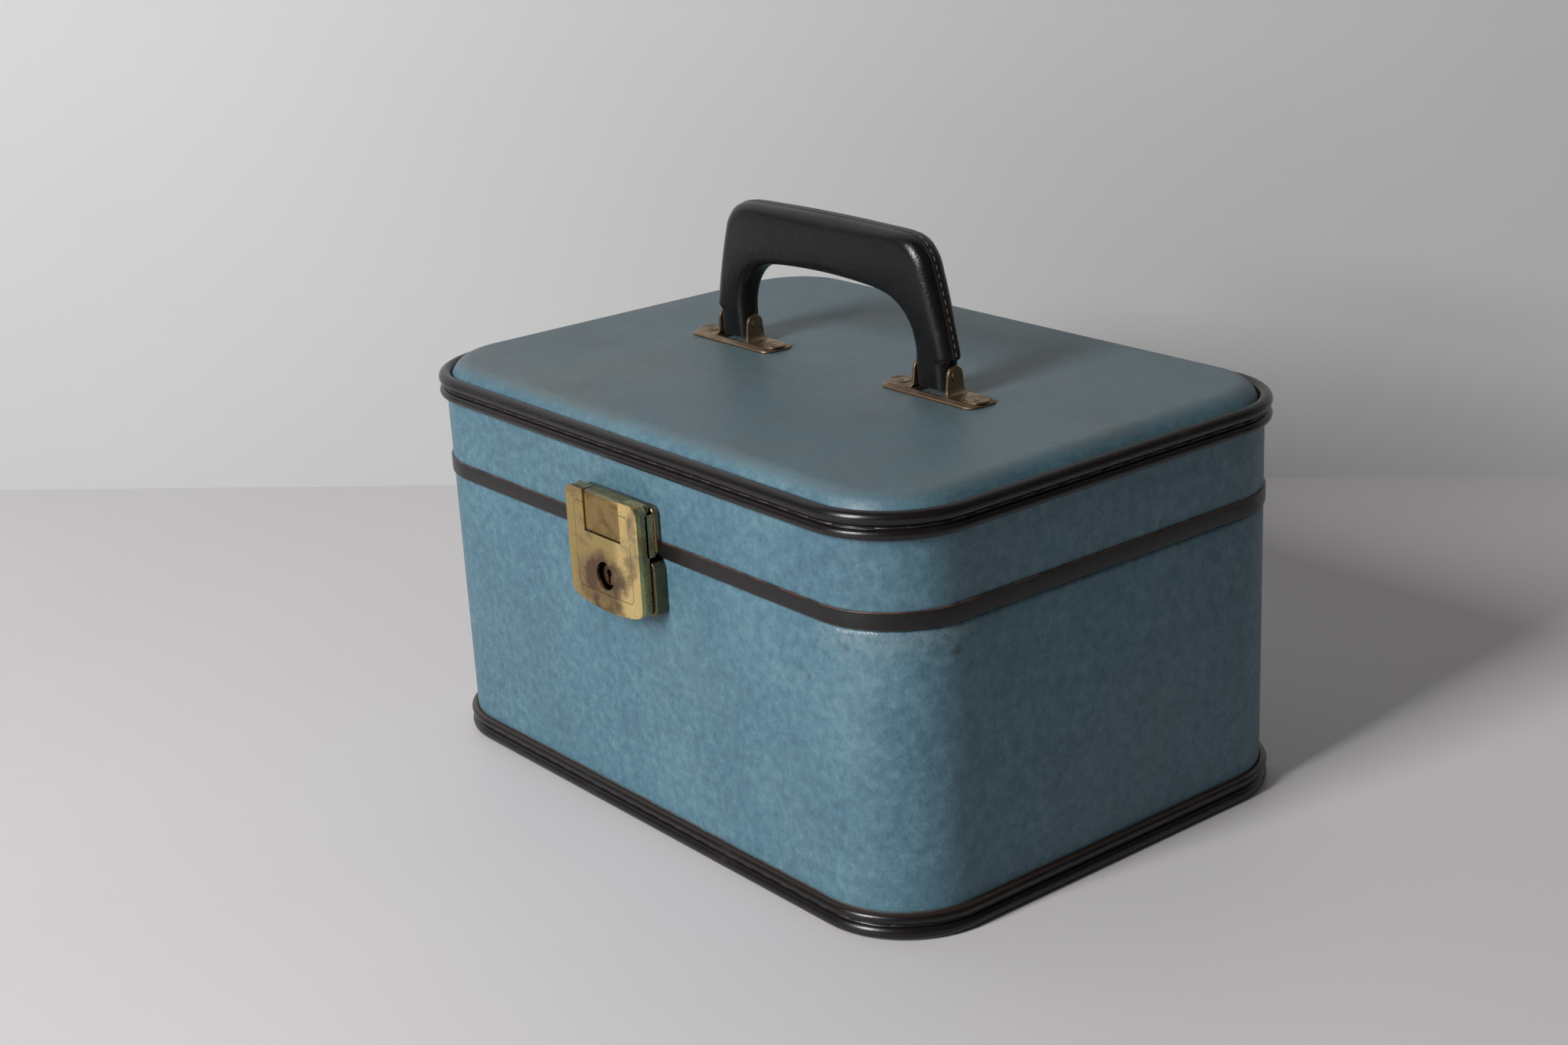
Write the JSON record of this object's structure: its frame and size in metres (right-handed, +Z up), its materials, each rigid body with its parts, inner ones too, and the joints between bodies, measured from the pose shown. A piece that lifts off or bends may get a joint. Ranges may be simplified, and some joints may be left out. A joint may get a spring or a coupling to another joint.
{
  "type": "vanity case",
  "caption": "Hard travelling vanity case in mottled blue leatherette, with corded black trim, a hinged lid, a rigid leather handle and a brass lock with a hinged hasp.",
  "frame": {"origin": "on the ground under the middle of the whole part, lock and hinges included", "axes": "+X to the right seen from the lock side, +Y towards the hinges, +Z up"},
  "size_m": [0.3366, 0.2526, 0.2497],
  "materials": {
    "leatherette": "mottled blue grained leatherette, worn, semi-matt",
    "board": "pressed fibre board, hidden under the cover",
    "trim": "black brown cord trim, satin, worn bright on its crown",
    "lining": "pale blue grey woven lining",
    "handle_leather": "black brown smooth leather with an edge seam, satin",
    "brass": "brass plated steel, tarnished, scratched, green in its corners",
    "steel": "plain steel",
    "mirror": "silvered glass"
  },
  "bodies": {
    "base": {"base_wall": "board", "base_cover": "leatherette", "base_floor": "board", "base_floor_cover": "leatherette", "base_trim": "trim", "base_rim": "lining", "base_lining": "lining", "elastic_pocket": "lining", "hinge_base_leaf_left": "brass", "hinge_base_leaf_right": "brass", "hinge_pin_left": "steel", "hinge_pin_right": "steel", "hinge_base_rivet_1": "brass", "hinge_base_rivet_2": "brass", "hinge_base_rivet_3": "brass", "hinge_base_rivet_4": "brass", "lock_case": "brass", "lock_case_rivet_left": "brass", "lock_case_rivet_right": "brass"},
    "lid": {"lid_wall": "board", "lid_cover": "leatherette", "lid_panel": "board", "lid_panel_cover": "leatherette", "lid_trim": "trim", "closure_band_left": "trim", "closure_band_back": "trim", "closure_band_right": "trim", "lid_lining": "lining", "lid_ceiling": "lining", "mirror_glass": "mirror", "mirror_frame": "lining", "hinge_lid_leaf_left": "brass", "hinge_lid_leaf_right": "brass", "hinge_lid_rivet_1": "brass", "hinge_lid_rivet_2": "brass", "hinge_lid_rivet_3": "brass", "hinge_lid_rivet_4": "brass", "handle_mount_left": "brass", "handle_mount_right": "brass", "handle_pin_left": "brass", "handle_pin_right": "brass", "handle_mount_rivet_1": "brass", "handle_mount_rivet_2": "brass", "handle_mount_rivet_3": "brass", "handle_mount_rivet_4": "brass", "lid_lock_plate": "brass", "lid_plate_rivet_left": "brass", "lid_plate_rivet_right": "brass"},
    "handle": {"handle_grip": "handle_leather", "handle_core": "steel"},
    "hasp": {"hasp_shell": "brass", "hasp_pin": "steel", "hasp_staple": "steel"},
    "key_barrel": {"key_barrel": "brass"},
    "lock_bolt": {"lock_bolt": "steel"}
  },
  "joints": [
    {"name": "lid_hinge", "type": "hinge", "parent": "base", "child": "lid", "pos_m": [0, 0.1237, 0.13], "axis": [-1, 0, 0], "range_deg": [0, 100]},
    {"name": "handle_pivot", "type": "hinge", "parent": "lid", "child": "handle", "pos_m": [0, 0.0033, 0.192], "axis": [1, 0, 0], "range_deg": [-85, 85]},
    {"name": "hasp_hinge", "type": "hinge", "parent": "lid", "child": "hasp", "pos_m": [0, -0.1203, 0.152], "axis": [-1, 0, 0], "range_deg": [0, 110]},
    {"name": "key_turn", "type": "hinge", "parent": "base", "child": "key_barrel", "pos_m": [0, -0.1183, 0.1186], "axis": [0, 1, 0], "range_deg": [0, 90]},
    {"name": "bolt_slide", "type": "slide", "parent": "base", "child": "lock_bolt", "axis": [1, 0, 0], "range_m": [0, 0.00509]}
  ],
  "couplings": [
    {"joint": "key_turn", "follows": "bolt_slide", "rad_per_m": 308.54}
  ]
}
